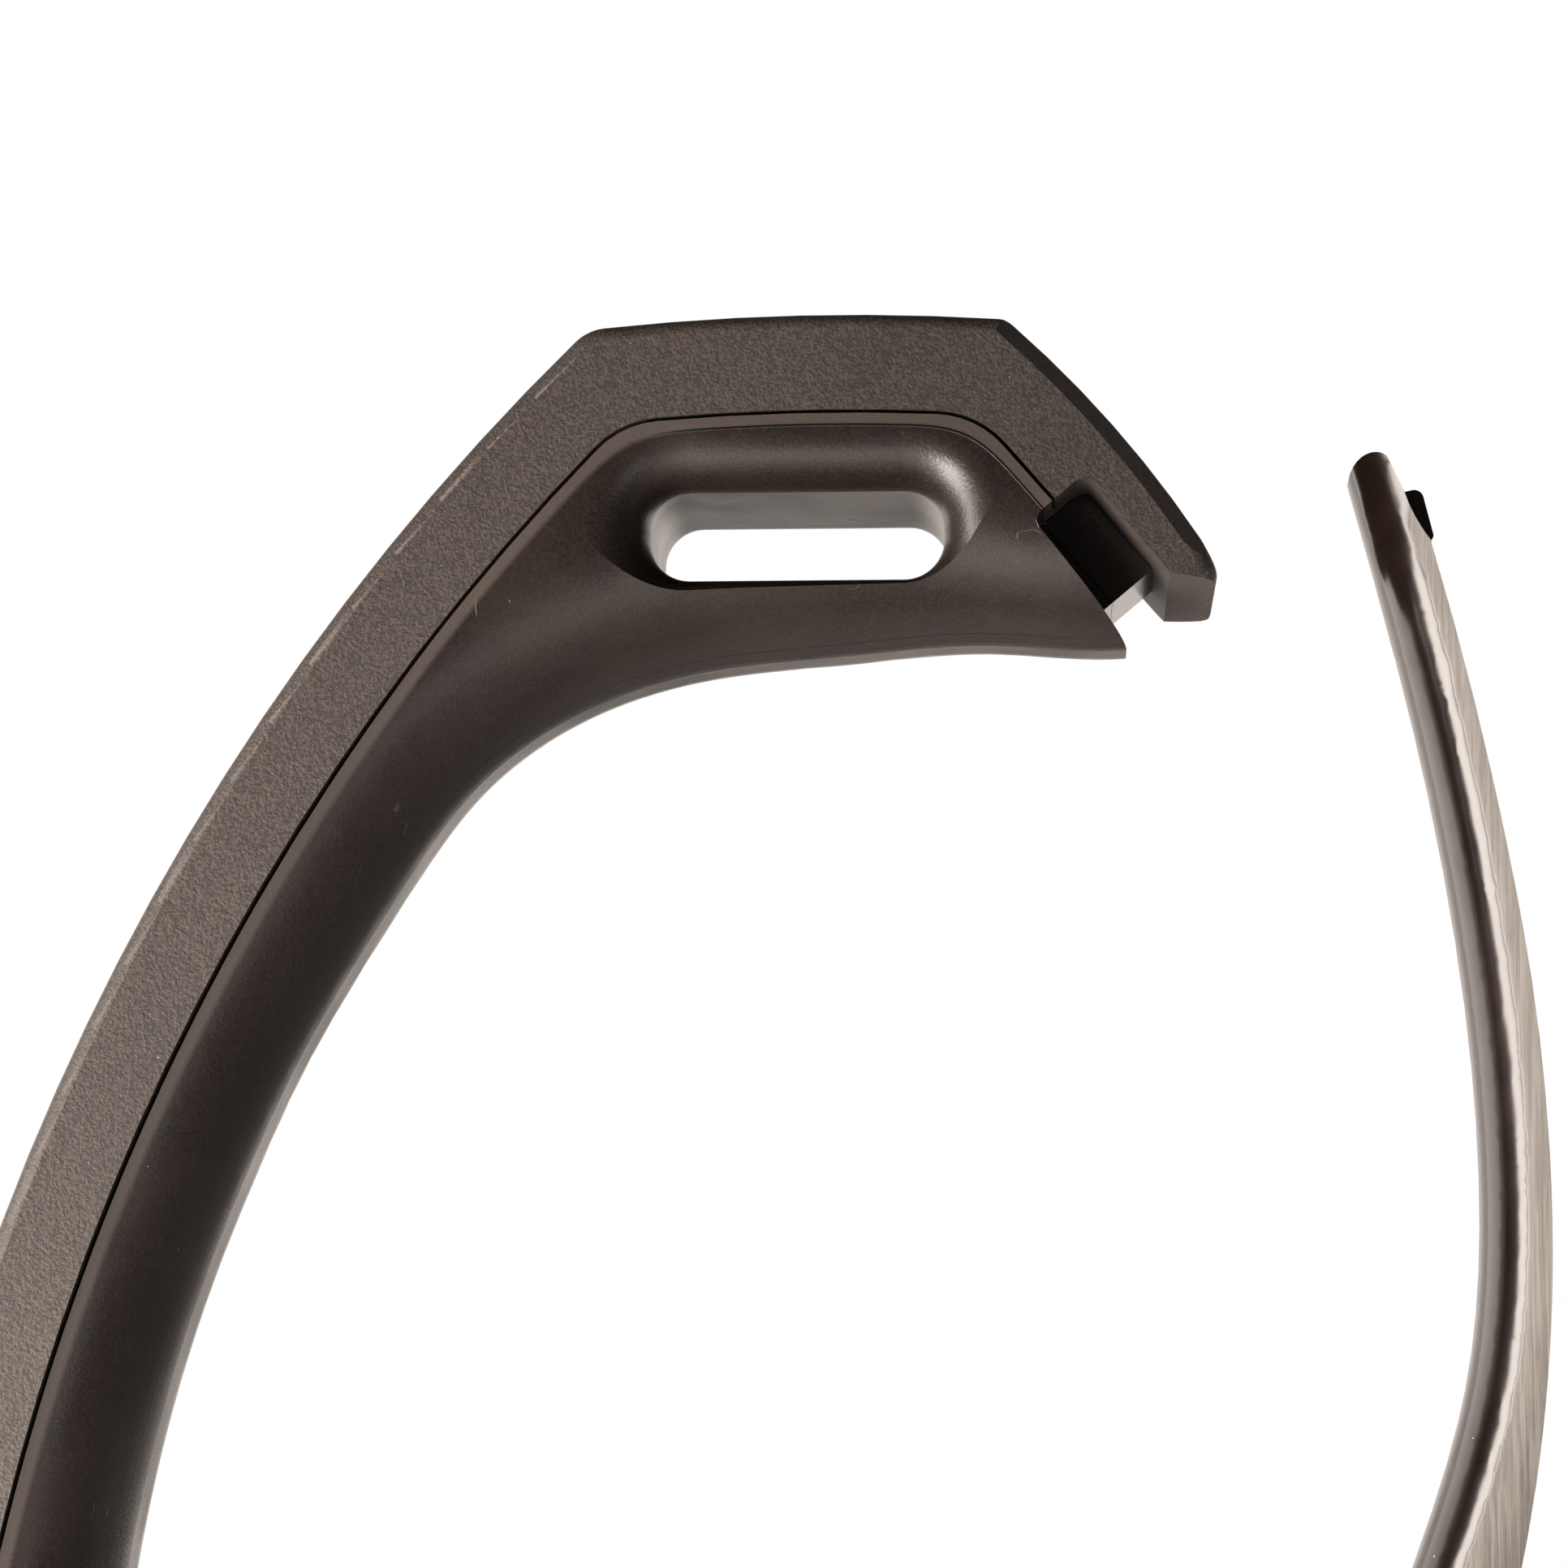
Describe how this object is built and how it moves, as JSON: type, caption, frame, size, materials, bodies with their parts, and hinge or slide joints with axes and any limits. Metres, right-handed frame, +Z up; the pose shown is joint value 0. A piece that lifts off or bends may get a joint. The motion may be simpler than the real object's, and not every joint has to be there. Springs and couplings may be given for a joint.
{
  "type": "prosthetic leg",
  "caption": "Below-knee prosthetic shank and foot: bow-shaped mast with a strap slot, rear spring blade, hinged ankle and heel leaf.",
  "frame": {"origin": "on the floor under the middle of the object's box", "axes": "+Z up, toes towards -X, Y across the leg"},
  "size_m": [0.2854, 0.076, 0.4015],
  "materials": {
    "black_steel": "black oxide",
    "blade_gloss": "polished moulded face, scratched flat edges",
    "brass": "turned",
    "bush_polymer": "bearing polymer",
    "catch_black": "smooth black",
    "core_nylon": "fine moulded grain, slightly glossier",
    "elastomer": "moulded polyurethane",
    "grained_nylon": "fine moulded grain",
    "housing_cast": "powder-coated casting",
    "keel_nylon": "fine moulded grain",
    "leaf_composite": "woven carbon laminate under resin",
    "plate_aluminium": "bead-blasted, clear anodised",
    "steel": "turned",
    "tread_rubber": "moulded tread"
  },
  "bodies": {
    "shank": {"mast_core": "core_nylon", "mast_rail": "grained_nylon", "socket_plate": "plate_aluminium", "socket_plate_screws": "steel", "socket_plate_inserts": "brass", "ankle_housing": "housing_cast", "mast_washers": "steel", "mast_bolts": "black_steel", "mast_nuts": "steel", "blade_pin": "steel", "blade_clips": "black_steel", "blade_bumper": "elastomer", "ankle_bushes": "bush_polymer"},
    "blade": {"rear_blade": "blade_gloss", "tip_catch": "catch_black", "blade_bush": "bush_polymer"},
    "foot": {"foot_keel": "keel_nylon", "ankle_axle": "steel", "axle_screws": "black_steel", "front_bumper": "elastomer", "rear_bumper": "elastomer", "leaf_pin": "steel", "forefoot_tread": "tread_rubber"},
    "heel": {"heel_leaf": "leaf_composite", "leaf_bush": "bush_polymer", "heel_bumper": "elastomer", "heel_tread": "tread_rubber"}
  },
  "joints": [
    {"name": "ankle_hinge", "type": "hinge", "parent": "shank", "child": "foot", "pos_m": [0.02725, 0, 0.066], "axis": [0, 1, 0], "range_deg": [-8, 8], "stiffness_Nm_per_rad": 300},
    {"name": "heel_flex", "type": "hinge", "parent": "foot", "child": "heel", "pos_m": [-0.02975, 0, 0.024], "axis": [0, -1, 0], "range_deg": [0, 3], "stiffness_Nm_per_rad": 1000},
    {"name": "blade_pivot", "type": "hinge", "parent": "shank", "child": "blade", "pos_m": [0.03889, 0, 0.12407], "axis": [0, -1, 0], "range_deg": [-1, 3.5], "stiffness_Nm_per_rad": 150}
  ]
}
